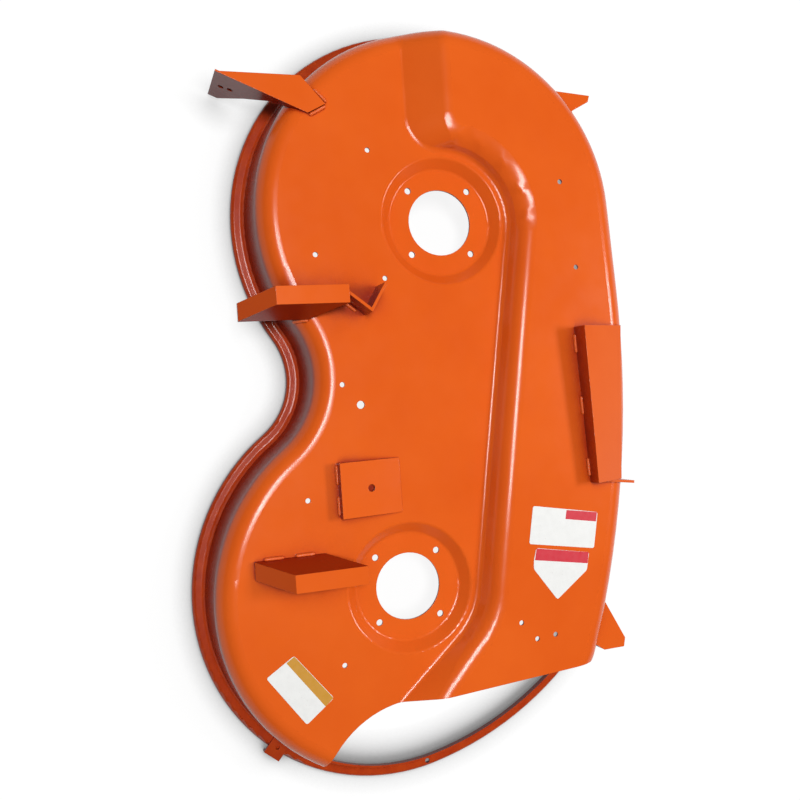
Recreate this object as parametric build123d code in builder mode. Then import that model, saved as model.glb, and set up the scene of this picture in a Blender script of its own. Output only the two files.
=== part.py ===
from build123d import *
from math import acos, atan2, cos, degrees, radians, sin, sqrt, tan
import os

# A two-spindle side-discharge mower deck: one pressed steel shell with its brackets welded on.
# Plan places are measured from the midpoint between the spindles, X to the discharge side,
# Y to the front. Heights are measured up from the rim. Millimetres and degrees throughout.

# Sheet and heights
sheet = 3.0
skirt_draft = 6.0
land_height = 80.0
plateau_height = 92.0
panel_height = 120.0
strip_height = 24.0

# Spindles
spindle_pitch = 508.0
spindle_stagger = 84.0
spindle_hole_r = 46.5
bolt_circle = 127.0
bolt_hole_d = 9.0
bolt_count = 4
land_r = 75.5
recess_slope = 50.5
recess_round = 6.0

# Skirt outline at the rim
left_lobe = Vector(-262, 44)
left_lobe_r = 271.0
right_lobe = Vector(258, -46)
right_lobe_r = 269.0
notch_r = 116.0
shoulder_angle = 93.1
shoulder_run = 127.0
front_r = 1367.0
ring_angle = 10.0
ring_r = 460.0
corner_r = 80.0

# Turned-out rim
lip_width = 16.0
lip_height = 9.0
lip_round = 5.0
lip_bend = 6.0

# Wall between the plateau and the raised front panel, at its foot and at its crest: reach from
# each spindle, angle where the wrap begins, turn-out radius of its tail, angle where it leaves
foot_left_reach = 101.0
foot_right_reach = 102.0
foot_wrap = 180.0
foot_tail_r = 45.0
foot_leave = 39.6
crest_left_reach = 117.0
crest_right_reach = 119.0
crest_wrap = 163.0
crest_tail_r = 35.0
crest_leave = 51.0
foot_round = 10.0
crest_share = 1.07
brink_margin = 2.0
wall_ease = 0.5

# Discharge opening, seen from above
opening_front = Vector(389, 300)
opening_bend = Vector(408, -60)
opening_rear = Vector(465, -165)
opening_run_out = 260.0

# Small holes in the plateau, in the front panel and in the rim strip
small_hole_d = 7.0
plateau_holes = [(-352, -62), (-209, -145), (-175, -49), (-32, -120), (120, -178), (346, -143)]
drain_hole = (-3, -96)
drain_hole_d = 11.0
panel_holes = [(-305, 217), (-181, 234), (345, 132), (343, 161), (319, 109)]
strip_hole_angle = 8.0

# Bracket stock
bracket_t = 4.0
bracket_hole_d = 8.0

# Rear left wheel bracket: plate over the skirt, flange hung from its slanting edge. Each corner of
# its plate is an angle about the left lobe and a reach beyond the skirt's foot
wheel_tip_place = (238.65, 88.5)
wheel_root_place = (233.77, -39.2)
wheel_inner_place = (227.2, -50.2)
wheel_side_place = (226.05, -1.5)
wheel_flange_profile = [(0, 10), (14, 10), (47, 48), (77, 76)]
wheel_axle_holes = [(13.5, 54), (26, 57)]

# Rear hangers: flange held up by a splayed web, rear end sloping down; the left one has a V tail
hanger_width = 24.0
hanger_rise = 44.0
hanger_splay = 16.0
hanger_rear = -255.0
hanger_slope_top = -210.0
hanger_front = -113.0
hanger_foot_front = -160.0
left_hanger_inner = -138.0
right_hanger_inner = 208.0
tail_start = Vector(-157, -122)
tail_bend = Vector(-125, -82)
tail_end = Vector(-162, -59)

# Idler pad: square plate held up at its rear edge and let down to the plateau in front
pad_left = 73.0
pad_right = 148.0
pad_rear = -135.0
pad_front = -47.0
pad_rise = 15.0
pad_front_rise = 1.5
pad_hole_d = 10.0

# Front hanger: upright web on the panel, top plate sloping down to the brink, and an ear. Depths run
# back from the front curve, the ear's angle is about that curve's centre
web_left = -94.0
web_right = 132.0
web_left_depth = 99.5
web_right_depth = 73.5
web_left_height = 30.0
web_right_height = 23.0
top_plate_rest = 0.27
top_plate_dip = 0.07
ear_angle = 81.05
ear_tip_reach = 13.0
ear_nose_drop = 16.0
ear_low_drop = 48.0
ear_brink_dip = 0.2
ear_nose_run = 26.0
ear_round = 6.0
ear_hole_d = 12.0
ear_hole_inset = 12.0

# Front wheel brackets: corners of their plates, as an angle about the left lobe or the front curve's
# centre and a reach beyond the skirt's foot
front_plate_height = 80.0
front_left_places = [
    (141.2, -14.0),
    (134.1, 2.0),
    (125.9, 45.0),
    (124.8, 37.0),
    (125.6, 7.0),
    (123.6, -36.0),
]
front_right_places = [
    (73.55, -18.0),
    (73.42, -1.0),
    (71.32, 50.0),
    (70.78, 51.5),
    (70.32, 19.5),
    (70.73, -16.0),
]
front_flange_drop = 38.0

# Rim tab
tab_angle = -40.8
tab_width = 26.0
tab_reach = 25.0
tab_t = 3.0
tab_hole_d = 6.0
tab_hole_reach = 10.0

# Reach of cutting blocks that must clear the whole deck
clear_of_deck = 2000.0

# Upward lean of a face's normal that tells skirt from slope, and slope from level ground
steep = 0.15
level_enough = 0.95

crest_round = crest_share * (panel_height - plateau_height)
top_round = crest_round - brink_margin
skirt_lean = panel_height * tan(radians(skirt_draft))
left_spindle = Vector(-spindle_pitch / 2, spindle_stagger / 2)
right_spindle = Vector(spindle_pitch / 2, -spindle_stagger / 2)
spindles = [left_spindle, right_spindle]


def polar(centre, radius, angle):
    return centre + Vector(radius * cos(radians(angle)), radius * sin(radians(angle)))


def heading(vector):
    return degrees(atan2(vector.Y, vector.X))


def apex(first, second, first_reach, second_reach, side):
    """Plan point at a reach from each of two others, on one side of the line between them."""
    span = second - first
    turn = acos((first_reach**2 + span.length**2 - second_reach**2) / (2 * first_reach * span.length))
    return polar(first, first_reach, heading(span) + side * degrees(turn))


# Centres of the skirt's curves
notch = apex(left_lobe, right_lobe, left_lobe_r + notch_r, right_lobe_r + notch_r, -1)
ring = polar(right_lobe, right_lobe_r - ring_r, ring_angle)
shoulder = polar(left_lobe, shoulder_run, shoulder_angle - 90)
front = polar(shoulder, left_lobe_r - front_r, shoulder_angle)
corner = apex(ring, front, ring_r - corner_r, front_r - corner_r, 1)


def skirt_plan(plane, grow=0):
    """Outline of the skirt: two lobes joined by a notch behind and by a long front curve."""
    left_end = heading(notch - left_lobe) + 360
    right_start = heading(notch - right_lobe)
    corner_start = heading(corner - ring)
    corner_end = heading(corner - front)
    with BuildSketch(plane) as plan:
        with BuildLine():
            left = CenterArc(left_lobe, left_lobe_r + grow, shoulder_angle, left_end - shoulder_angle)
            right = CenterArc(right_lobe, right_lobe_r + grow, right_start, ring_angle - right_start)
            notch_floor = polar(notch, notch_r - grow, heading((left @ 1 + right @ 0) / 2 - notch))
            ThreePointArc(left @ 1, notch_floor, right @ 0)
            CenterArc(ring, ring_r + grow, ring_angle, corner_start - ring_angle)
            CenterArc(corner, corner_r + grow, corner_start, corner_end - corner_start)
            ahead = CenterArc(front, front_r + grow, corner_end, shoulder_angle - corner_end)
            Line(ahead @ 1, left @ 0)
        make_face()
    return plan.sketch


rim_box = skirt_plan(Plane.XY, lip_width).bounding_box()
deck = Plane(origin=(-rim_box.center().X, -rim_box.center().Y, 0))


def upright(foot, along):
    """Vertical plane through a plan point: its X runs along the given plan direction, its Y up."""
    direction = Vector(along.X, along.Y, 0)
    across = direction.cross(Vector(0, 0, 1))
    return Plane(origin=deck.from_local_coords(foot), x_dir=direction, z_dir=across)


def beyond_skirt(centre, radius, place):
    """Plan point given as an angle about a curve's centre and a reach beyond that curve."""
    angle, reach = place
    return polar(centre, radius + reach, angle)


def wall_plan(plane, left, right, wrap, tail, leave):
    """Ground in front of the wall: it wraps both spindles and turns out to the left skirt."""
    span = right_spindle - left_spindle
    across = heading(span) + degrees(acos((left - right) / span.length))
    tail_centre = polar(left_spindle, left + tail, wrap)
    tail_start = polar(tail_centre, tail, 270)
    exit_point = polar(right_spindle, right, leave)
    exit_run = (clear_of_deck - exit_point.X) / cos(radians(leave - 90))
    exit_end = polar(exit_point, exit_run, leave - 90)
    with BuildSketch(plane) as plan:
        with BuildLine():
            Line((-clear_of_deck, tail_start.Y), tail_start)
            CenterArc(tail_centre, tail, 270, wrap - 90)
            CenterArc(left_spindle, left, wrap, across - wrap)
            Line(polar(left_spindle, left, across), polar(right_spindle, right, across))
            CenterArc(right_spindle, right, across, leave - across)
            Polyline(
                exit_point,
                exit_end,
                (clear_of_deck, clear_of_deck),
                (-clear_of_deck, clear_of_deck),
                (-clear_of_deck, tail_start.Y),
            )
        make_face()
    return plan.sketch


def opening_plan(plane, reach):
    """Ground taken out by the discharge opening."""
    step = Vector(reach, 0)
    with BuildSketch(plane) as plan:
        with BuildLine():
            edge = Line(opening_front + step, opening_bend + step)
            sweep_out = TangentArc(edge @ 1, opening_rear + step, tangent=edge % 1)
            far = sweep_out @ 1 + (sweep_out % 1) * opening_run_out
            beyond = far.X + opening_run_out
            Polyline(sweep_out @ 1, far, (beyond, far.Y), (beyond, opening_front.Y), edge @ 0)
        make_face()
    return plan.sketch


def shared_edges(faces, others):
    """Edges that two groups of faces have in common."""
    other_edges = [e for f in others for e in f.edges()]
    return [e for f in faces for e in f.edges() if any(e.is_same(o) for o in other_edges)]


def drawn_volume(inset, reach):
    """The pressing as a full block, its faces moved in by inset. Two of them make the sheet."""
    plateau = plateau_height - inset
    panel = panel_height - inset
    land = land_height - inset
    ease = wall_ease * inset

    foot_left = foot_left_reach + ease
    foot_right = foot_right_reach + ease
    foot_tail = foot_tail_r - ease
    crest_left = crest_left_reach + ease
    crest_right = crest_right_reach + ease
    crest_tail = crest_tail_r - ease

    with BuildPart() as front_ground:
        add(wall_plan(deck.offset(plateau), foot_left, foot_right, foot_wrap, foot_tail, foot_leave))
        add(wall_plan(deck.offset(panel), crest_left, crest_right, crest_wrap, crest_tail, crest_leave))
        loft(ruled=True)

    with BuildPart() as air:
        with BuildSketch(deck.offset(plateau)):
            Rectangle(2 * clear_of_deck, 2 * clear_of_deck)
        extrude(amount=panel_height)
        add(front_ground.part, mode=Mode.SUBTRACT)

    with BuildPart() as lip:
        add(skirt_plan(deck, lip_width - inset))
        extrude(amount=lip_height - inset)
        fillet(lip.faces().sort_by(Axis.Z)[-1].edges(), lip_round - inset)

    with BuildPart() as block:
        add(skirt_plan(deck, -inset))
        extrude(amount=panel_height + sheet, taper=skirt_draft)
        add(opening_plan(deck.offset(strip_height), reach))
        extrude(amount=panel_height + sheet, mode=Mode.SUBTRACT)
        add(air.part, mode=Mode.SUBTRACT)
        level = block.faces().sort_by(Axis.Z)[-1]
        slopes = [f for f in block.faces() if steep < f.normal_at().Z < level_enough]
        fillet(shared_edges([level], slopes), crest_round - inset)
        foot = [e for e in block.edges() if abs(e.center().Z - plateau) < 0.01 and e.is_interior]
        fillet(foot, foot_round + inset)

        with BuildSketch(deck.offset(land)):
            with Locations(*spindles):
                Circle(land_r + ease)
        extrude(amount=plateau_height - land_height + sheet, taper=-recess_slope, mode=Mode.SUBTRACT)
        rings = block.edges().filter_by(GeomType.CIRCLE).filter_by(lambda e: e.length < 8 * land_r)
        floor_rings = [e for e in rings if abs(e.center().Z - land) < 0.01]
        brim_rings = [e for e in rings if abs(e.center().Z - plateau) < 0.01 and e.is_closed]
        fillet(floor_rings, recess_round + inset)
        fillet(brim_rings, recess_round)

        walls = [f for f in block.faces() if 0 < f.normal_at().Z < steep]
        tops = [f for f in block.faces() if f.normal_at().Z > steep and f.center().Z > land + sheet]
        fillet(shared_edges(walls, tops), top_round - inset)

        add(lip.part)
        walls = [f for f in block.faces() if 0 < f.normal_at().Z < steep]
        bends = [e for f in walls for e in f.edges() if abs(e.center().Z - lip_height + inset) < 0.01]
        fillet(bends, lip_bend + inset)
    return block.part


pressing = drawn_volume(0, 0)
hollow = drawn_volume(sheet, 4 * sheet)

# Deck shell
with BuildPart() as deck_shell:
    add(pressing)
    add(hollow, mode=Mode.SUBTRACT)
    with BuildSketch(deck.offset(land_height)):
        with Locations(*spindles):
            Circle(spindle_hole_r)
            with PolarLocations(bolt_circle / 2, bolt_count, start_angle=45):
                Circle(bolt_hole_d / 2)
    extrude(amount=2 * sheet, both=True, mode=Mode.SUBTRACT)
    with BuildSketch(deck.offset(plateau_height)):
        with Locations(*plateau_holes):
            Circle(small_hole_d / 2)
        with Locations(drain_hole):
            Circle(drain_hole_d / 2)
    extrude(amount=2 * sheet, both=True, mode=Mode.SUBTRACT)
    with BuildSketch(deck.offset(panel_height)):
        with Locations(*panel_holes):
            Circle(small_hole_d / 2)
    extrude(amount=2 * sheet, both=True, mode=Mode.SUBTRACT)
    with BuildSketch(deck.offset(lip_height)):
        with Locations(polar(right_lobe, right_lobe_r + lip_width / 2, strip_hole_angle)):
            Circle(small_hole_d / 2)
    extrude(amount=2 * sheet, both=True, mode=Mode.SUBTRACT)

# Rear left wheel bracket
wheel_tip = beyond_skirt(left_lobe, left_lobe_r, wheel_tip_place)
wheel_root = beyond_skirt(left_lobe, left_lobe_r, wheel_root_place)
wheel_inner = beyond_skirt(left_lobe, left_lobe_r, wheel_inner_place)
wheel_side = beyond_skirt(left_lobe, left_lobe_r, wheel_side_place)
with BuildPart() as rear_left_wheel_bracket:
    with BuildSketch(deck.offset(plateau_height)):
        with BuildLine():
            Polyline(wheel_tip, wheel_root, wheel_inner, wheel_side, close=True)
        make_face()
    extrude(amount=bracket_t)
    slant = (wheel_root - wheel_tip).normalized()
    slant_length = (wheel_root - wheel_tip).length
    with BuildSketch(upright(wheel_tip, slant)):
        with BuildLine():
            Polyline(
                (0, plateau_height),
                *wheel_flange_profile,
                (slant_length, plateau_height),
                close=True,
            )
        make_face()
        with Locations(*wheel_axle_holes):
            Circle(bracket_hole_d / 2, mode=Mode.SUBTRACT)
    extrude(amount=-bracket_t)
    add(pressing, mode=Mode.SUBTRACT)


def hanger(inner, side):
    """Rear hanger: level flange, sloping rear end and the splayed web below its inner edge."""
    crown = plateau_height + hanger_rise
    foot = inner - side * hanger_splay
    slope = Vector(0, hanger_slope_top - hanger_rear, hanger_rise)
    slope_t = bracket_t * slope.length / slope.Y
    with BuildPart() as body:
        with BuildSketch(upright(Vector(inner, hanger_slope_top), Vector(1, 0))):
            with Locations((side * hanger_width / 2, crown - bracket_t / 2)):
                Rectangle(hanger_width, bracket_t)
        extrude(amount=hanger_slope_top - hanger_front)
        with BuildSketch(upright(Vector(inner, hanger_slope_top), Vector(1, 0))):
            with Locations((side * hanger_width / 2, crown - slope_t / 2)):
                Rectangle(hanger_width, slope_t)
        with BuildSketch(upright(Vector(foot, hanger_rear), Vector(1, 0))):
            with Locations((side * hanger_width / 2, plateau_height + slope_t / 2)):
                Rectangle(hanger_width, slope_t)
        loft(ruled=True)
        with BuildSketch(deck.offset(crown)):
            with Locations((inner + side * bracket_t / 2, (hanger_slope_top + hanger_front) / 2)):
                Rectangle(bracket_t, hanger_front - hanger_slope_top)
        with BuildSketch(deck.offset(plateau_height)):
            with Locations((foot + side * bracket_t / 2, (hanger_rear + hanger_foot_front) / 2)):
                Rectangle(bracket_t, hanger_foot_front - hanger_rear)
        loft(ruled=True)
    return body.part


# Rear left hanger, with a tail bent to a V under the front of its flange
left_hanger = hanger(left_hanger_inner, -1)
with BuildPart() as rear_left_hanger:
    add(left_hanger)
    with BuildSketch(deck.offset(plateau_height)):
        with BuildLine():
            Polyline(tail_start, tail_bend, tail_end)
            offset(amount=bracket_t, side=Side.LEFT)
        make_face()
    extrude(amount=hanger_rise - bracket_t)
    add(pressing, mode=Mode.SUBTRACT)

# Rear right hanger
right_hanger = hanger(right_hanger_inner, 1)
with BuildPart() as rear_right_hanger:
    add(right_hanger)
    add(pressing, mode=Mode.SUBTRACT)

# Idler pad
with BuildPart() as idler_pad:
    pad_top = plateau_height + pad_rise
    with BuildSketch(upright(Vector(pad_left, 0), Vector(0, 1))):
        with BuildLine():
            Polyline(
                (pad_rear, plateau_height),
                (pad_rear, pad_top),
                (pad_front, plateau_height + pad_front_rise),
            )
            offset(amount=bracket_t, side=Side.RIGHT)
        make_face()
    extrude(amount=pad_right - pad_left)
    with BuildSketch(deck.offset(plateau_height)):
        with Locations(((pad_left + pad_right) / 2, (pad_rear + pad_front) / 2)):
            Circle(pad_hole_d / 2)
    extrude(amount=2 * pad_rise, mode=Mode.SUBTRACT)
    add(pressing, mode=Mode.SUBTRACT)


def hanger_section(x, depth, height):
    """Bent section of the front hanger: web on the panel, then the plate down to the brink."""
    edge = front.Y + sqrt(front_r**2 - (x - front.X) ** 2)
    run = depth - skirt_lean - top_plate_rest * top_round
    with BuildSketch(upright(Vector(x, edge - depth), Vector(0, 1))) as section:
        with BuildLine():
            Polyline(
                (0, panel_height),
                (0, panel_height + height),
                (run, panel_height - top_plate_dip * top_round),
            )
            offset(amount=bracket_t, side=Side.RIGHT)
        make_face()
    return section.sketch


# Front hanger
ear_root = beyond_skirt(front, front_r, (ear_angle, -web_right_depth))
ear_along = polar(Vector(0, 0), 1, ear_angle)
ear_length = web_right_depth + ear_tip_reach
ear_nose = panel_height - ear_nose_drop
ear_low = panel_height - ear_low_drop
left_section = hanger_section(web_left, web_left_depth, web_left_height)
right_section = hanger_section(web_right, web_right_depth, web_right_height)
with BuildPart() as front_hanger:
    add(left_section)
    add(right_section)
    loft(ruled=True)
    with BuildSketch(upright(ear_root, ear_along)) as ear:
        with BuildLine():
            Polyline(
                (0, panel_height),
                (0, panel_height + web_right_height - bracket_t),
                (web_right_depth - skirt_lean, panel_height - ear_brink_dip * top_round),
                (ear_length, ear_nose),
                (ear_length, ear_low),
                (ear_length - ear_nose_run, ear_low),
                close=True,
            )
        make_face()
        fillet(ear.vertices().group_by(Axis.X)[-1], ear_round)
        with Locations((ear_length - ear_hole_inset, (ear_low + ear_nose) / 2)):
            Circle(ear_hole_d / 2, mode=Mode.SUBTRACT)
    extrude(amount=bracket_t)
    add(pressing, mode=Mode.SUBTRACT)

# Front left wheel bracket
front_left_plate = [beyond_skirt(left_lobe, left_lobe_r, place) for place in front_left_places]
with BuildPart() as front_left_wheel_bracket:
    with BuildSketch(deck.offset(front_plate_height)):
        with BuildLine():
            Polyline(*front_left_plate, close=True)
        make_face()
    extrude(amount=-bracket_t)
    add(pressing, mode=Mode.SUBTRACT)

# Front right wheel bracket, its outer edge turned down
front_right_plate = [beyond_skirt(front, front_r, place) for place in front_right_places]
with BuildPart() as front_right_wheel_bracket:
    with BuildSketch(deck.offset(front_plate_height)):
        with BuildLine():
            Polyline(*front_right_plate, close=True)
        make_face()
    extrude(amount=-bracket_t)
    with BuildSketch(deck.offset(front_plate_height)):
        with BuildLine():
            Polyline(front_right_plate[4], front_right_plate[3])
            offset(amount=bracket_t, side=Side.LEFT)
        make_face()
    extrude(amount=-front_flange_drop)
    add(pressing, mode=Mode.SUBTRACT)

# Rim tab
with BuildPart() as rim_tab:
    tab_along = polar(Vector(0, 0), 1, tab_angle)
    tab_side = tab_along.cross(Vector(0, 0, 1))
    tab_root = polar(right_lobe, right_lobe_r, tab_angle) - tab_side * (tab_width / 2)
    with BuildSketch(upright(tab_root, tab_along)):
        with BuildLine():
            Polyline((0, lip_height + tab_t), (tab_reach, lip_height + tab_t), (tab_reach, tab_t))
            offset(amount=tab_t, side=Side.RIGHT)
        make_face()
    extrude(amount=tab_width)
    with BuildSketch(deck.offset(lip_height)):
        with Locations(polar(right_lobe, right_lobe_r + tab_hole_reach, tab_angle)):
            Circle(tab_hole_d / 2)
    extrude(amount=2 * tab_t, mode=Mode.SUBTRACT)
    add(pressing, mode=Mode.SUBTRACT)

pieces = dict(
    deck_shell=deck_shell,
    rear_left_wheel_bracket=rear_left_wheel_bracket,
    rear_left_hanger=rear_left_hanger,
    rear_right_hanger=rear_right_hanger,
    idler_pad=idler_pad,
    front_hanger=front_hanger,
    front_left_wheel_bracket=front_left_wheel_bracket,
    front_right_wheel_bracket=front_right_wheel_bracket,
    rim_tab=rim_tab,
)
os.makedirs("parts", exist_ok=True)
for name, piece in pieces.items():
    piece.part.label = name
    export_step(piece.part, f"parts/{name}.step")
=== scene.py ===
import math

import bmesh
import bpy
from mathutils import Matrix, Vector
from mathutils.bvhtree import BVHTree


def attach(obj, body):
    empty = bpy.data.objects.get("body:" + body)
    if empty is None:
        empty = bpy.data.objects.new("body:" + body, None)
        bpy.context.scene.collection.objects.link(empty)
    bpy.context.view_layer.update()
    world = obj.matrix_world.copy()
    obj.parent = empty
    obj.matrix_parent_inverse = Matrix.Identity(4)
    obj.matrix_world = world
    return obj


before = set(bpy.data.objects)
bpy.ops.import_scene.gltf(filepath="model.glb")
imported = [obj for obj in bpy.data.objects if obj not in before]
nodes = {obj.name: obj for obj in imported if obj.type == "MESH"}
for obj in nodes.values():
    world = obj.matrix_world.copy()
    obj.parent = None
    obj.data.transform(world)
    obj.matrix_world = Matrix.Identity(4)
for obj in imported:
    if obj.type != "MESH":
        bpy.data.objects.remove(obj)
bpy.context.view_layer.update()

bl_info = {
    "name": "Mower Deck",
    "version": (1, 0, 0),
    "blender": (4, 5, 0),
    "location": "3D View > Sidebar > Mower Deck",
    "description": "Enamel, weld beads, blank stickers and a studio for a pressed steel mower deck",
    "category": "Object",
}

# Middle between the spindles, in the part's own frame. Plan points below are millimetres from it.
MIDDLE = Vector((3.0, -4.236))
MM = 0.001

PLATEAU = 92.0
PANEL = 120.0
BRACKET_PLATE = 80.0
SKIRT_DRAFT = math.radians(6.0)

LEFT_LOBE = Vector((-262.0, 44.0))
LEFT_LOBE_R = 271.0
FRONT_CENTRE = Vector((-75.915, -1043.528))
FRONT_R = 1367.0

# Welded brackets, each with the share of painted shade on its steep faces
BRACKETS = {
    "rear_left_wheel_bracket": 0.85,
    "rear_left_hanger": 0.85,
    "rear_right_hanger": 0.85,
    "idler_pad": 0.7,
    "front_hanger": 0.2,
    "front_left_wheel_bracket": 0.85,
    "front_right_wheel_bracket": 0.85,
    "rim_tab": 0.5,
}


def polar(centre, radius, angle):
    """Plan point at a radius and an angle, in degrees, about a centre."""
    turn = math.radians(angle)
    return centre + Vector((radius * math.cos(turn), radius * math.sin(turn)))


def place(point, height):
    """A plan point and a height in millimetres as a point of the frame in metres."""
    return Vector(((point[0] + MIDDLE.x) * MM, (point[1] + MIDDLE.y) * MM, height * MM))


def add_node(tree, kind, inputs=None, **settings):
    """A node with its settings and its input values. A value may also be another node's output."""
    made = tree.nodes.new(kind)
    for key, value in settings.items():
        setattr(made, key, value)
    for key, value in (inputs or {}).items():
        if isinstance(value, bpy.types.NodeSocket):
            tree.links.new(value, made.inputs[key])
        else:
            made.inputs[key].default_value = value
    return made


def new_material(name):
    """An empty node material with its tree, its shader and the object coordinates."""
    material = bpy.data.materials.new(name)
    material.use_nodes = True
    tree = material.node_tree
    tree.nodes.clear()
    shader = add_node(tree, "ShaderNodeBsdfPrincipled")
    add_node(tree, "ShaderNodeOutputMaterial", {"Surface": shader.outputs["BSDF"]})
    place_on_part = add_node(tree, "ShaderNodeTexCoord").outputs["Object"]
    return material, tree, shader, place_on_part


def noise(tree, vector, scale, detail=2.0, roughness=0.5):
    """Even noise over the part, from 0 to 1."""
    inputs = {"Vector": vector, "Scale": scale, "Detail": detail, "Roughness": roughness}
    return add_node(tree, "ShaderNodeTexNoise", inputs).outputs["Fac"]


def remap(tree, value, low, high, to_low, to_high):
    """A value carried from one range to another, held at the ends."""
    inputs = {"Value": value, "From Min": low, "From Max": high, "To Min": to_low, "To Max": to_high}
    return add_node(tree, "ShaderNodeMapRange", inputs).outputs["Result"]


def mix_colour(tree, share, first, second):
    """Two colours mixed by a share."""
    made = add_node(tree, "ShaderNodeMix", data_type="RGBA")
    for key, value in ((0, share), (6, first), (7, second)):
        if isinstance(value, bpy.types.NodeSocket):
            tree.links.new(value, made.inputs[key])
        else:
            made.inputs[key].default_value = value
    return made.outputs[2]


def combine(tree, operation, first, second):
    """Arithmetic on two values."""
    made = add_node(tree, "ShaderNodeMath", {0: first, 1: second}, operation=operation)
    return made.outputs["Value"]


def seen_rays(tree):
    """1 for the rays that show the pale background: the camera's, and those in gloss and glass."""
    ray = add_node(tree, "ShaderNodeLightPath").outputs
    seen = combine(tree, "MAXIMUM", ray["Is Camera Ray"], ray["Is Glossy Ray"])
    return combine(tree, "MAXIMUM", seen, ray["Is Transmission Ray"])


def enamel(name, settings, wear, steep_from, steep_shade_share):
    """Gloss enamel over steel sheet, with painted shade in corners and hollows, at the foot of the
    skirt and on steep faces, dull underneath, worn along its edges.
    """
    material, tree, shader, at = new_material(name)
    full = (*settings.colour, 1.0)
    deep = (*settings.deep_colour, 1.0)
    primer = (*settings.primer, 1.0)

    drift = remap(tree, noise(tree, at, 5.0, 4.0, 0.6), 0.3, 0.7, 0.0, 1.0)
    colour = mix_colour(tree, drift, deep, full)

    # Painted shade: the colour darkens towards the shade colour in corners, hollows and under
    # brackets, as ambient occlusion finds them, and on the rim and the foot of the skirt below the
    # foot height; noise breaks it into patches.
    corner = add_node(tree, "ShaderNodeAmbientOcclusion", {"Distance": settings.shade_reach}, samples=8)
    shade = remap(tree, corner.outputs["AO"], 0.55, 0.8, 1.0, 0.0)
    height = add_node(tree, "ShaderNodeSeparateXYZ", {0: at}).outputs["Z"]
    foot = remap(tree, height, 0.4 * settings.foot, settings.foot, settings.foot_shade_share, 0.0)
    shade = combine(tree, "MAXIMUM", shade, foot)
    patches = remap(tree, noise(tree, at, 60.0, 5.0), 0.3, 0.7, 0.7, 0.9)
    painted_shade = combine(tree, "MULTIPLY", shade, patches)
    colour = mix_colour(tree, painted_shade, colour, (*settings.shade_colour, 1.0))

    geometry = add_node(tree, "ShaderNodeNewGeometry")
    facing = add_node(tree, "ShaderNodeSeparateXYZ", {0: geometry.outputs["Normal"]}).outputs["Z"]
    level = combine(tree, "ABSOLUTE", facing, 0.0)
    # Painted shade: steep faces, whether they face up or down, darken towards the steep colour.
    steep = remap(tree, level, steep_from, steep_from - 0.2, 0.0, steep_shade_share)
    colour = mix_colour(tree, steep, colour, (*settings.steep_shade_colour, 1.0))

    rounded = add_node(tree, "ShaderNodeBevel", {"Radius": settings.edge_round}, samples=6)
    bend = add_node(
        tree,
        "ShaderNodeVectorMath",
        {0: rounded.outputs["Normal"], 1: geometry.outputs["Normal"]},
        operation="DOT_PRODUCT",
    )
    edge = remap(tree, bend.outputs["Value"], 0.97, 0.8, 0.0, 1.0)
    chips = remap(tree, noise(tree, at, 220.0, 6.0, 0.65), 0.58, 0.66, 0.0, wear)
    worn = combine(tree, "MULTIPLY", edge, chips)
    colour = mix_colour(tree, worn, colour, primer)

    under = remap(tree, facing, -0.5, -0.8, 0.0, 1.0)
    thinness = remap(tree, noise(tree, at, 18.0, 6.0, 0.6), 0.35, 0.7, 0.1, 0.6)
    film = combine(tree, "MULTIPLY", under, thinness)
    colour = mix_colour(tree, film, colour, (*settings.film_colour, 1.0))
    tree.links.new(colour, shader.inputs["Base Color"])

    smooth = settings.roughness
    gloss = remap(tree, noise(tree, at, 34.0, 4.0), 0.3, 0.7, smooth, smooth + 0.06)
    for dullness, share in ((painted_shade, 0.1), (worn, 0.35), (film, 0.5)):
        gloss = combine(tree, "ADD", gloss, combine(tree, "MULTIPLY", dullness, share))
    tree.links.new(gloss, shader.inputs["Roughness"])

    waves = add_node(
        tree,
        "ShaderNodeBump",
        {
            "Strength": 0.35,
            "Distance": settings.press_waves,
            "Height": noise(tree, at, 11.0, 2.0),
            "Normal": rounded.outputs["Normal"],
        },
    )
    peel = add_node(
        tree,
        "ShaderNodeBump",
        {
            "Strength": 0.3,
            "Distance": settings.orange_peel,
            "Height": noise(tree, at, 420.0, 2.0),
            "Normal": waves.outputs["Normal"],
        },
    )
    tree.links.new(peel.outputs["Normal"], shader.inputs["Normal"])
    shader.inputs["Coat Weight"].default_value = settings.coat
    shader.inputs["Coat Roughness"].default_value = settings.coat_roughness
    shader.inputs["Specular IOR Level"].default_value = settings.specular
    return material


def bead_enamel(settings):
    """Enamel over weld metal: drifting tone, painted shade between the ripples and a rougher skin."""
    material, tree, shader, at = new_material("weld_enamel")
    drift = remap(tree, noise(tree, at, 180.0, 4.0, 0.6), 0.3, 0.7, 0.0, 1.0)
    colour = mix_colour(tree, drift, (*settings.deep_colour, 1.0), (*settings.colour, 1.0))
    # Painted shade: the bead darkens in the hollows between its ripples, as ambient occlusion finds
    # them.
    corner = add_node(tree, "ShaderNodeAmbientOcclusion", {"Distance": 0.004}, samples=8)
    shade = remap(tree, corner.outputs["AO"], 0.3, 0.8, 0.75, 0.0)
    colour = mix_colour(tree, shade, colour, (*settings.shade_colour, 1.0))
    tree.links.new(colour, shader.inputs["Base Color"])
    gloss = remap(tree, noise(tree, at, 260.0, 3.0), 0.3, 0.7, 0.28, 0.5)
    tree.links.new(gloss, shader.inputs["Roughness"])
    skin = add_node(
        tree,
        "ShaderNodeBump",
        {"Strength": 0.5, "Distance": 0.0002, "Height": noise(tree, at, 900.0, 3.0)},
    )
    tree.links.new(skin.outputs["Normal"], shader.inputs["Normal"])
    shader.inputs["Coat Weight"].default_value = settings.coat
    shader.inputs["Coat Roughness"].default_value = settings.coat_roughness
    return material


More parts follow.
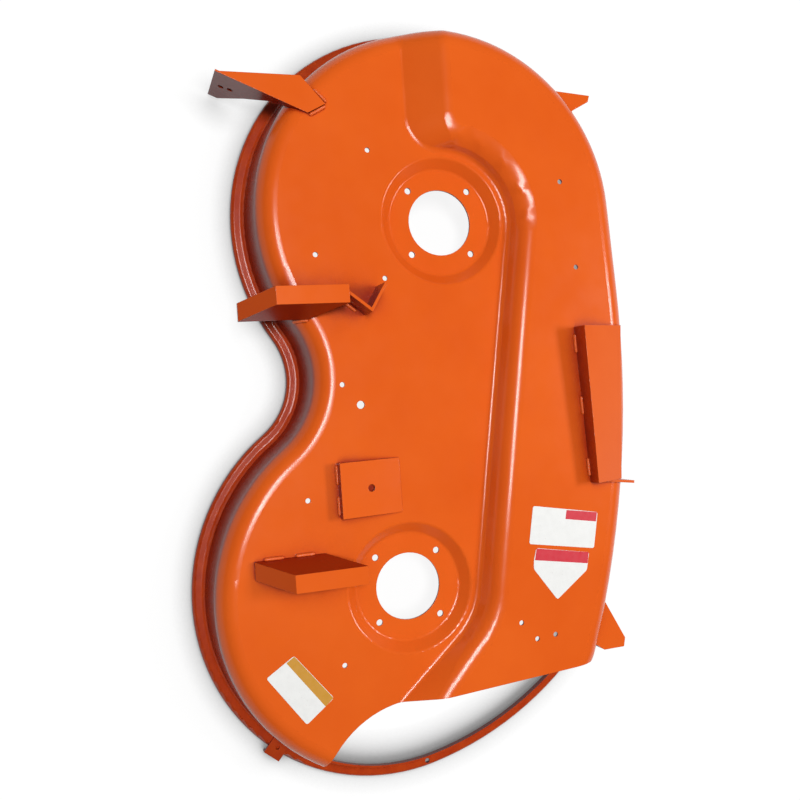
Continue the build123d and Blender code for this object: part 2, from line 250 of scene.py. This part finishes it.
def vinyl(name, colour, grime):
    """Printed vinyl film, faintly mottled and a little scuffed."""
    material, tree, shader, at = new_material(name)
    mottle = remap(tree, noise(tree, at, 90.0, 5.0, 0.6), 0.35, 0.75, 0.0, 1.0)
    tint = mix_colour(tree, mottle, (*colour, 1.0), (*(c * 0.95 for c in colour), 1.0))
    specks = remap(tree, noise(tree, at, 700.0, 4.0, 0.7), 0.64, 0.72, 0.0, grime)
    tint = mix_colour(tree, specks, tint, (0.22, 0.13, 0.09, 1.0))
    tree.links.new(tint, shader.inputs["Base Color"])
    gloss = remap(tree, noise(tree, at, 150.0, 4.0), 0.3, 0.7, 0.3, 0.46)
    tree.links.new(gloss, shader.inputs["Roughness"])
    skin = add_node(
        tree,
        "ShaderNodeBump",
        {"Strength": 0.25, "Distance": 0.00008, "Height": noise(tree, at, 520.0, 3.0)},
    )
    tree.links.new(skin.outputs["Normal"], shader.inputs["Normal"])
    return material


def coat_node(name, material):
    """A CAD piece with its plain material changed for a better one."""
    piece = nodes[name]
    if not piece.material_slots:
        piece.data.materials.append(material)
    for slot in piece.material_slots:
        slot.material = material


def finished(piece):
    """A made piece, put on the deck's one body."""
    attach(piece, "root")


def link_mesh(name, mesh):
    """A mesh as an object of the scene."""
    piece = bpy.data.objects.new(name, mesh)
    bpy.context.scene.collection.objects.link(piece)
    return piece


def drape(skin, points, lift):
    """Plan points laid on the shell from above, and lifted by a height in millimetres."""
    laid = []
    for point in points:
        start = place(point, PANEL + 40.0)
        hit = skin.ray_cast(start, Vector((0, 0, -1)))[0]
        if hit is None:
            raise ValueError(f"the weld seam leaves the shell at {tuple(point)}")
        laid.append(hit + Vector((0, 0, lift * MM)))
    return laid


def along(start, end, count=8):
    """Points along a straight plan seam."""
    first = Vector(start)
    last = Vector(end)
    return [first.lerp(last, i / (count - 1)) for i in range(count)]


def stitches(start, end, bead, gap):
    """A straight seam cut to equal beads with gaps between them, as plan runs."""
    first = Vector(start)
    last = Vector(end)
    length = (last - first).length
    bead = min(bead, length)
    count = max(1, int((length + gap) // (bead + gap)))
    spare = length - count * bead - (count - 1) * gap
    step = (last - first) / length
    runs = []
    for i in range(count):
        begin = spare / 2 + i * (bead + gap)
        runs.append(along(first + step * begin, first + step * (begin + bead)))
    return runs


def skirt_arc(centre, radius, first, last, height, lift, count=14):
    """A seam round the skirt at one height, as points of the frame."""
    reach = radius - height * math.tan(SKIRT_DRAFT)
    turns = [first + (last - first) * i / (count - 1) for i in range(count)]
    return [place(polar(centre, reach, turn), height + lift) for turn in turns]


def weld_seams(settings):
    """Every seam that holds a bracket on the shell, as runs of points."""
    shell = nodes["deck_shell"]
    skin = BVHTree.FromObject(shell, bpy.context.evaluated_depsgraph_get())
    width = settings.width / MM
    rest = 0.22 * width
    bead = settings.bead / MM
    gap = settings.gap / MM
    straight = [
        # Idler pad, behind its leg
        ((75, -135 - rest), (146, -135 - rest), gap),
        # Feet of the rear hangers and the tail of the left one
        ((-122 + rest, -178), (-122 + rest, -161), gap),
        ((-126 - rest, -178), (-126 - rest, -161), gap),
        ((192 - rest, -252), (192 - rest, -163), gap),
        ((196 + rest, -252), (196 + rest, -163), gap),
        ((-154.2 + rest, -122), (-125.5 + rest, -86), gap),
        # Foot of the front hanger, in stitches far apart
        ((-90, 224.03 - rest), (130, 233.98 - rest), 4 * gap),
        # Inner edges of the rear left wheel bracket
        ((-397.5 + rest, -141), (-411 + rest, -117), gap),
        ((-414 - rest, -117 + rest), (-432, -133 + rest), gap),
    ]
    seams = []
    for start, end, bare in straight:
        for run in stitches(start, end, bead, bare):
            seams.append(drape(skin, run, rest))
    # Front wheel brackets, two beads each along the skirt, between angles in degrees
    for first, last in ((126.0, 131.0), (134.0, 139.0)):
        seams.append(skirt_arc(LEFT_LOBE, LEFT_LOBE_R, first, last, BRACKET_PLATE, rest))
    for first, last in ((71.1, 72.1), (72.4, 73.3)):
        seams.append(skirt_arc(FRONT_CENTRE, FRONT_R, first, last, BRACKET_PLATE, rest))
    return seams


def bead_tree(material):
    """Node tree that turns each seam into one weld bead with ripples and tapered ends."""
    tree = bpy.data.node_groups.new("weld_bead", "GeometryNodeTree")
    tree.interface.new_socket("Geometry", in_out="INPUT", socket_type="NodeSocketGeometry")
    tree.interface.new_socket("Width", in_out="INPUT", socket_type="NodeSocketFloat")
    tree.interface.new_socket("Ripple Pitch", in_out="INPUT", socket_type="NodeSocketFloat")
    tree.interface.new_socket("Ripple Depth", in_out="INPUT", socket_type="NodeSocketFloat")
    tree.interface.new_socket("Geometry", in_out="OUTPUT", socket_type="NodeSocketGeometry")
    source = add_node(tree, "NodeGroupInput").outputs

    def maths(operation, first, second=0.0):
        made = add_node(tree, "ShaderNodeMath", {0: first, 1: second}, operation=operation)
        return made.outputs["Value"]

    path = add_node(tree, "GeometryNodeMeshToCurve", {"Mesh": source["Geometry"]})
    sample = add_node(
        tree,
        "GeometryNodeResampleCurve",
        {"Curve": path.outputs["Curve"], "Length": maths("DIVIDE", source["Ripple Pitch"], 5.0)},
        mode="LENGTH",
    )
    run = add_node(tree, "GeometryNodeSplineParameter").outputs
    ripple = maths("DIVIDE", run["Length"], source["Ripple Pitch"])
    ripple = maths("ABSOLUTE", maths("SINE", maths("MULTIPLY", ripple, math.pi)))
    ripple = maths("MULTIPLY", ripple, source["Ripple Depth"])
    body = maths("ADD", maths("SUBTRACT", 1.0, source["Ripple Depth"]), ripple)
    from_end = maths("MINIMUM", run["Factor"], maths("SUBTRACT", 1.0, run["Factor"]))
    taper = maths("MINIMUM", maths("ADD", maths("MULTIPLY", from_end, 9.0), 0.45), 1.0)
    where = add_node(tree, "GeometryNodeInputPosition").outputs["Position"]
    unevenness = add_node(
        tree, "ShaderNodeTexNoise", {"Vector": where, "Scale": 260.0, "Detail": 1.0}
    ).outputs["Fac"]
    uneven = maths("ADD", maths("MULTIPLY", unevenness, 0.3), 0.85)
    thickness = maths("MULTIPLY", maths("MULTIPLY", body, taper), uneven)
    section = add_node(
        tree,
        "GeometryNodeCurvePrimitiveCircle",
        {"Resolution": 12, "Radius": maths("MULTIPLY", source["Width"], 0.5)},
    )
    sweep = add_node(
        tree,
        "GeometryNodeCurveToMesh",
        {
            "Curve": sample.outputs["Curve"],
            "Profile Curve": section.outputs["Curve"],
            "Scale": thickness,
            "Fill Caps": True,
        },
    )
    smooth = add_node(tree, "GeometryNodeSetShadeSmooth", {"Geometry": sweep.outputs["Mesh"]})
    real = add_node(tree, "GeometryNodeRealizeInstances", {"Geometry": smooth.outputs["Geometry"]})
    dressed = add_node(
        tree,
        "GeometryNodeSetMaterial",
        {"Geometry": real.outputs["Geometry"], "Material": material},
    )
    add_node(tree, "NodeGroupOutput", {"Geometry": dressed.outputs["Geometry"]})
    return tree


def plate(name, outline, height, thickness, corner, material):
    """A thin flat plate with rounded corners, lying at a height."""
    mesh = bpy.data.meshes.new(name)
    shape = bmesh.new()
    ring = [shape.verts.new(place(point, height)) for point in outline]
    face = shape.faces.new(ring)
    bmesh.ops.recalc_face_normals(shape, faces=[face])
    bmesh.ops.bevel(shape, geom=ring, offset=corner, segments=5, affect="VERTICES", profile=0.5)
    grown = bmesh.ops.extrude_face_region(shape, geom=list(shape.faces))
    raised = [part for part in grown["geom"] if isinstance(part, bmesh.types.BMVert)]
    bmesh.ops.translate(shape, verts=raised, vec=(0, 0, thickness))
    bmesh.ops.recalc_face_normals(shape, faces=list(shape.faces))
    shape.to_mesh(mesh)
    shape.free()
    mesh.materials.append(material)
    return link_mesh(name, mesh)


class EnamelSettings(bpy.types.PropertyGroup):
    """Colours and skin of the enamel on the shell and its brackets, with the colours, reach and shares
    of its painted shade.
    """

    colour: bpy.props.FloatVectorProperty(
        name="Colour",
        description="Enamel on flat ground",
        subtype="COLOR",
        size=3,
        min=0.0,
        max=1.0,
        default=(0.80, 0.125, 0.012),
    )
    deep_colour: bpy.props.FloatVectorProperty(
        name="Deep colour",
        description="Enamel where it lies thicker",
        subtype="COLOR",
        size=3,
        min=0.0,
        max=1.0,
        default=(0.74, 0.102, 0.008),
    )
    # Colour of the painted shade in corners, under brackets, at the foot of the skirt and between weld
    # ripples.
    shade_colour: bpy.props.FloatVectorProperty(
        name="Crevice colour",
        description="Enamel with grime in corners and under brackets",
        subtype="COLOR",
        size=3,
        min=0.0,
        max=1.0,
        default=(0.30, 0.010, 0.002),
    )
    # Colour of the painted shade on steep faces.
    steep_shade_colour: bpy.props.FloatVectorProperty(
        name="Steep colour",
        description="Enamel that has run thin on steep faces",
        subtype="COLOR",
        size=3,
        min=0.0,
        max=1.0,
        default=(0.26, 0.007, 0.002),
    )
    film_colour: bpy.props.FloatVectorProperty(
        name="Underside film",
        description="Thin, dull cover on the underside",
        subtype="COLOR",
        size=3,
        min=0.0,
        max=1.0,
        default=(0.40, 0.075, 0.025),
    )
    primer: bpy.props.FloatVectorProperty(
        name="Worn edge",
        description="Primer that shows at worn edges",
        subtype="COLOR",
        size=3,
        min=0.0,
        max=1.0,
        default=(0.20, 0.075, 0.045),
    )
    roughness: bpy.props.FloatProperty(
        name="Roughness",
        description="Roughness of clean enamel",
        subtype="FACTOR",
        min=0.0,
        max=1.0,
        default=0.18,
    )
    specular: bpy.props.FloatProperty(
        name="Specular",
        description="Strength of the enamel's own reflection",
        subtype="FACTOR",
        min=0.0,
        max=1.0,
        default=0.22,
    )
    coat: bpy.props.FloatProperty(
        name="Gloss coat",
        description="Share of clear gloss over the enamel",
        subtype="FACTOR",
        min=0.0,
        max=1.0,
        default=0.12,
    )
    coat_roughness: bpy.props.FloatProperty(
        name="Gloss coat roughness",
        description="Roughness of the clear gloss",
        subtype="FACTOR",
        min=0.0,
        max=1.0,
        default=0.12,
    )
    edge_round: bpy.props.FloatProperty(
        name="Edge round",
        description="Radius that the enamel gives to cut edges",
        unit="LENGTH",
        min=0.0,
        default=0.0012,
    )
    # Reach of the painted shade out of corners.
    shade_reach: bpy.props.FloatProperty(
        name="Crevice reach",
        description="How far grime spreads out of corners",
        unit="LENGTH",
        min=0.0,
        default=0.09,
    )
    # Height under which the rim and the foot of the skirt take painted shade.
    foot: bpy.props.FloatProperty(
        name="Foot height",
        description="Height under which grime darkens the rim and the foot of the skirt",
        unit="LENGTH",
        min=0.0,
        default=0.08,
    )
    # Share of painted shade at the foot of the skirt.
    foot_shade_share: bpy.props.FloatProperty(
        name="Foot grime",
        description="Share of grime at the foot of the skirt",
        subtype="FACTOR",
        min=0.0,
        max=1.0,
        default=0.85,
    )
    press_waves: bpy.props.FloatProperty(
        name="Press waves",
        description="Height of the slow waves that pressing leaves in the sheet",
        unit="LENGTH",
        min=0.0,
        default=0.0002,
    )
    orange_peel: bpy.props.FloatProperty(
        name="Orange peel",
        description="Height of the fine texture of sprayed enamel",
        unit="LENGTH",
        min=0.0,
        default=0.00005,
    )


class WeldSettings(bpy.types.PropertyGroup):
    """Sizes of the weld beads that hold the brackets."""

    width: bpy.props.FloatProperty(
        name="Bead width",
        description="Width of a weld bead",
        unit="LENGTH",
        min=0.001,
        default=0.0052,
    )
    bead: bpy.props.FloatProperty(
        name="Bead length",
        description="Length of one stitch of weld",
        unit="LENGTH",
        min=0.005,
        default=0.026,
    )
    gap: bpy.props.FloatProperty(
        name="Gap",
        description="Bare length between two stitches",
        unit="LENGTH",
        min=0.0,
        default=0.016,
    )
    pitch: bpy.props.FloatProperty(
        name="Ripple pitch",
        description="Distance between the ripples of a bead",
        unit="LENGTH",
        min=0.0005,
        default=0.0021,
    )
    ripple: bpy.props.FloatProperty(
        name="Ripple depth",
        description="Depth of the ripples as a share of the bead's width",
        subtype="FACTOR",
        min=0.0,
        max=0.6,
        default=0.16,
    )


class StickerSettings(bpy.types.PropertyGroup):
    """Film and colours of the blank stickers."""

    film: bpy.props.FloatProperty(
        name="Film",
        description="Thickness of the sticker film",
        unit="LENGTH",
        min=0.0001,
        default=0.0003,
    )
    print_film: bpy.props.FloatProperty(
        name="Print",
        description="Thickness of a printed field",
        unit="LENGTH",
        min=0.00005,
        default=0.0001,
    )
    white: bpy.props.FloatVectorProperty(
        name="White",
        description="Ground of the stickers",
        subtype="COLOR",
        size=3,
        min=0.0,
        max=1.0,
        default=(0.87, 0.87, 0.85),
    )
    amber: bpy.props.FloatVectorProperty(
        name="Amber",
        description="Band of the rear sticker",
        subtype="COLOR",
        size=3,
        min=0.0,
        max=1.0,
        default=(0.62, 0.30, 0.035),
    )
    red: bpy.props.FloatVectorProperty(
        name="Red",
        description="Fields of the front sticker",
        subtype="COLOR",
        size=3,
        min=0.0,
        max=1.0,
        default=(0.66, 0.035, 0.055),
    )


class StudioSettings(bpy.types.PropertyGroup):
    """Floor, lamps and surroundings."""

    floor: bpy.props.FloatVectorProperty(
        name="Floor",
        description="Colour of the floor",
        subtype="COLOR",
        size=3,
        min=0.0,
        max=1.0,
        default=(0.14, 0.14, 0.14),
    )
    glow: bpy.props.FloatProperty(
        name="Floor glow",
        description="Light of the floor as the camera and reflections see it",
        min=0.0,
        default=0.89,
    )
    contact: bpy.props.FloatProperty(
        name="Contact shadow",
        description="Width of the soft shadow along the foot of the deck",
        unit="LENGTH",
        min=0.0,
        default=0.05,
    )
    reach: bpy.props.FloatProperty(
        name="Floor reach",
        description="Half the floor's side",
        unit="LENGTH",
        min=1.0,
        default=9.0,
    )
    overhead: bpy.props.FloatProperty(
        name="Overhead lamp",
        description="Power of the wide lamp high above, which lights the flats and draws the streaks",
        subtype="POWER",
        min=0.0,
        default=110.0,
    )
    front: bpy.props.FloatProperty(
        name="Front lamp",
        description="Power of the soft lamp in front of the deck",
        subtype="POWER",
        min=0.0,
        default=38.0,
    )
    sky: bpy.props.FloatProperty(
        name="Surroundings",
        description="Even light from all round, under the pale backdrop that the camera sees",
        min=0.0,
        default=0.09,
    )


class DECK_OT_coat_shell(bpy.types.Operator):
    """Coat the pressed shell with gloss enamel."""

    bl_idname = "deck.coat_shell"
    bl_label = "Coat the Shell"

    def execute(self, context):
        settings = context.scene.deck_enamel
        finish = enamel("shell_enamel", settings, wear=0.55, steep_from=0.45, steep_shade_share=0.85)
        coat_node("deck_shell", finish)
        return {"FINISHED"}


class DECK_OT_coat_brackets(bpy.types.Operator):
    """Coat the welded brackets, whose cut edges wear sooner."""

    bl_idname = "deck.coat_brackets"
    bl_label = "Coat the Brackets"

    def execute(self, context):
        settings = context.scene.deck_enamel
        for name, share in BRACKETS.items():
            finish = enamel(f"{name}_enamel", settings, wear=0.9, steep_from=0.85, steep_shade_share=share)
            coat_node(name, finish)
        return {"FINISHED"}


class DECK_OT_lay_welds(bpy.types.Operator):
    """Lay weld beads along the feet and edges of the brackets."""

    bl_idname = "deck.lay_welds"
    bl_label = "Lay the Weld Beads"

    def execute(self, context):
        settings = context.scene.deck_weld
        points = []
        edges = []
        for seam in weld_seams(settings):
            first = len(points)
            points.extend(seam)
            edges.extend((first + i, first + i + 1) for i in range(len(seam) - 1))
        paths = bpy.data.meshes.new("weld_paths")
        paths.from_pydata(points, edges, [])
        piece = link_mesh("weld_beads", paths)
        tree = bead_tree(bead_enamel(context.scene.deck_enamel))
        items = tree.interface.items_tree
        sockets = {item.name: item.identifier for item in items if item.in_out == "INPUT"}
        modifier = piece.modifiers.new("beads", "NODES")
        modifier.node_group = tree
        modifier[sockets["Width"]] = settings.width
        modifier[sockets["Ripple Pitch"]] = settings.pitch
        modifier[sockets["Ripple Depth"]] = settings.ripple
        view = context.evaluated_depsgraph_get()
        mesh = bpy.data.meshes.new_from_object(piece.evaluated_get(view))
        if not mesh.polygons:
            raise ValueError("the weld beads came out empty")
        piece.modifiers.remove(modifier)
        piece.data = mesh
        bpy.data.meshes.remove(paths)
        finished(piece)
        return {"FINISHED"}


class DECK_OT_lay_stickers(bpy.types.Operator):
    """Lay the blank stickers on the plateau and on the front panel."""

    bl_idname = "deck.lay_stickers"
    bl_label = "Lay the Stickers"

    def execute(self, context):
        settings = context.scene.deck_sticker
        white = vinyl("white_vinyl", settings.white, 0.5)
        amber = vinyl("amber_vinyl", settings.amber, 0.4)
        red = vinyl("red_vinyl", settings.red, 0.4)
        film = settings.film
        ink = settings.print_film
        film_corner = 0.003
        ink_corner = 0.001

        rear = [(346, -249.5), (322, -211), (386.5, -161), (415.5, -200)]
        finished(plate("rear_sticker", rear, PLATEAU, film, film_corner, white))
        rear_band = [(323, -210.8), (386.4, -161.8), (395.8, -173.4), (330.2, -221.8)]
        finished(plate("rear_sticker_band", rear_band, PLATEAU + film / MM, ink, ink_corner, amber))

        upper = [(157, 139), (176.6, 242), (228, 232), (210, 129)]
        finished(plate("front_sticker", upper, PANEL, film, film_corner, white))
        field = [(168.3, 191.5), (176.6, 240.9), (189.9, 238.2), (181, 188.9)]
        finished(plate("front_sticker_field", field, PANEL + film / MM, ink, ink_corner, red))
        shield = [(217, 139.5), (233, 223.5), (258, 218), (294, 167.5), (246, 133.5), (234, 134.5)]
        finished(plate("front_shield", shield, PANEL, film, film_corner, white))
        shield_band = [(217.6, 139.8), (232.9, 222.7), (248.6, 220), (233.8, 136)]
        finished(plate("front_shield_band", shield_band, PANEL + film / MM, ink, ink_corner, red))
        return {"FINISHED"}


class DECK_OT_set_studio(bpy.types.Operator):
    """Set the floor, the lamps, the surroundings and the camera."""

    bl_idname = "deck.set_studio"
    bl_label = "Set the Studio"

    def execute(self, context):
        settings = context.scene.deck_studio
        self.lay_floor(settings)
        self.hang_lamps(settings)
        self.light_surroundings(context.scene, settings)
        self.aim_camera(context.scene)
        context.scene.view_settings.view_transform = "Standard"
        return {"FINISHED"}

    def lay_floor(self, settings):
        material = bpy.data.materials.new("pale_floor")
        material.use_nodes = True
        tree = material.node_tree
        tree.nodes.clear()
        matt = add_node(tree, "ShaderNodeBsdfDiffuse", {"Color": (*settings.floor, 1.0)})
        under = add_node(tree, "ShaderNodeAmbientOcclusion", {"Distance": settings.contact}, samples=8)
        shadow = remap(tree, under.outputs["AO"], 0.5, 1.0, 0.2 * settings.glow, settings.glow)
        glow = add_node(tree, "ShaderNodeEmission", {"Strength": shadow})
        both = add_node(
            tree, "ShaderNodeAddShader", {0: matt.outputs["BSDF"], 1: glow.outputs["Emission"]}
        )
        floor = add_node(
            tree,
            "ShaderNodeMixShader",
            {0: seen_rays(tree), 1: matt.outputs["BSDF"], 2: both.outputs["Shader"]},
        )
        add_node(tree, "ShaderNodeOutputMaterial", {"Surface": floor.outputs["Shader"]})
        reach = settings.reach
        mesh = bpy.data.meshes.new("floor")
        corners = [(-reach, -reach, 0), (reach, -reach, 0), (reach, reach, 0), (-reach, reach, 0)]
        mesh.from_pydata(corners, [], [(0, 1, 2, 3)])
        mesh.materials.append(material)
        link_mesh("floor", mesh)

    def hang_lamps(self, settings):
        self.lamp(
            "overhead_lamp",
            settings.overhead,
            size=(1.2, 0.8),
            where=(-0.35, -0.6, 3.9),
            target=(-0.1, -0.1, 0.08),
        )
        self.lamp(
            "front_lamp",
            settings.front,
            size=(0.9, 0.5),
            where=(-0.1, 2.3, 2.2),
            target=(0.0, 0.0, 0.08),
        )

    def lamp(self, name, power, size, where, target):
        light = bpy.data.lights.new(name, "AREA")
        light.shape = "RECTANGLE"
        light.size, light.size_y = size
        light.energy = power
        lamp = bpy.data.objects.new(name, light)
        back = (Vector(where) - Vector(target)).normalized()
        across = back.cross(Vector((1, 0, 0))).normalized()
        turn = Matrix((across.cross(back), across, back)).transposed().to_4x4()
        lamp.matrix_world = Matrix.Translation(where) @ turn
        bpy.context.scene.collection.objects.link(lamp)

    def light_surroundings(self, scene, settings):
        world = bpy.data.worlds.new("surroundings")
        world.use_nodes = True
        tree = world.node_tree
        tree.nodes.clear()
        direction = add_node(tree, "ShaderNodeTexCoord").outputs["Generated"]
        rise = add_node(tree, "ShaderNodeSeparateXYZ", {0: direction}).outputs["Z"]
        low = remap(tree, rise, 0.12, 0.35, 1.0, 0.0)
        backdrop = combine(tree, "MULTIPLY", seen_rays(tree), low)
        strength = remap(tree, backdrop, 0.0, 1.0, settings.sky, settings.glow)
        sky = add_node(
            tree, "ShaderNodeBackground", {"Color": (1.0, 1.0, 1.0, 1.0), "Strength": strength}
        )
        add_node(tree, "ShaderNodeOutputWorld", {"Surface": sky.outputs["Background"]})
        scene.world = world

    def aim_camera(self, scene):
        lens = bpy.data.cameras.new("camera")
        lens.sensor_width = 36.0
        lens.lens = 38.996
        lens.clip_start = 0.01
        camera = bpy.data.objects.new("camera", lens)
        right = Vector((0.06829, 0.94666, 0.31492))
        down = Vector((0.99766, -0.06537, -0.01984))
        back = Vector((-0.00180, -0.31554, 0.94891))
        turn = Matrix((right, -down, back)).transposed().to_4x4()
        camera.matrix_world = Matrix.Translation((-0.005054, -0.422074, 1.230280)) @ turn
        scene.collection.objects.link(camera)
        scene.camera = camera


class DECK_PT_panel(bpy.types.Panel):
    """Steps that dress the mower deck."""

    bl_idname = "DECK_PT_panel"
    bl_label = "Mower Deck"
    bl_space_type = "VIEW_3D"
    bl_region_type = "UI"
    bl_category = "Mower Deck"

    def draw(self, context):
        for step in STEPS:
            self.layout.operator(step.bl_idname)
        for group in GROUPS:
            settings = getattr(context.scene, group)
            box = self.layout.box()
            for key in settings.bl_rna.properties.keys():
                if key not in {"rna_type", "name"}:
                    box.prop(settings, key)


STEPS = (
    DECK_OT_coat_shell,
    DECK_OT_coat_brackets,
    DECK_OT_lay_welds,
    DECK_OT_lay_stickers,
    DECK_OT_set_studio,
)
GROUPS = {
    "deck_enamel": EnamelSettings,
    "deck_weld": WeldSettings,
    "deck_sticker": StickerSettings,
    "deck_studio": StudioSettings,
}


def register():
    for group, kind in GROUPS.items():
        bpy.utils.register_class(kind)
        setattr(bpy.types.Scene, group, bpy.props.PointerProperty(type=kind))
    for step in STEPS:
        bpy.utils.register_class(step)
    bpy.utils.register_class(DECK_PT_panel)


def unregister():
    bpy.utils.unregister_class(DECK_PT_panel)
    for step in reversed(STEPS):
        bpy.utils.unregister_class(step)
    for group, kind in GROUPS.items():
        delattr(bpy.types.Scene, group)
        bpy.utils.unregister_class(kind)


def main():
    register()
    bpy.ops.deck.coat_shell()
    bpy.ops.deck.coat_brackets()
    bpy.ops.deck.lay_welds()
    bpy.ops.deck.lay_stickers()
    bpy.ops.deck.set_studio()


if __name__ == "__main__":
    main()
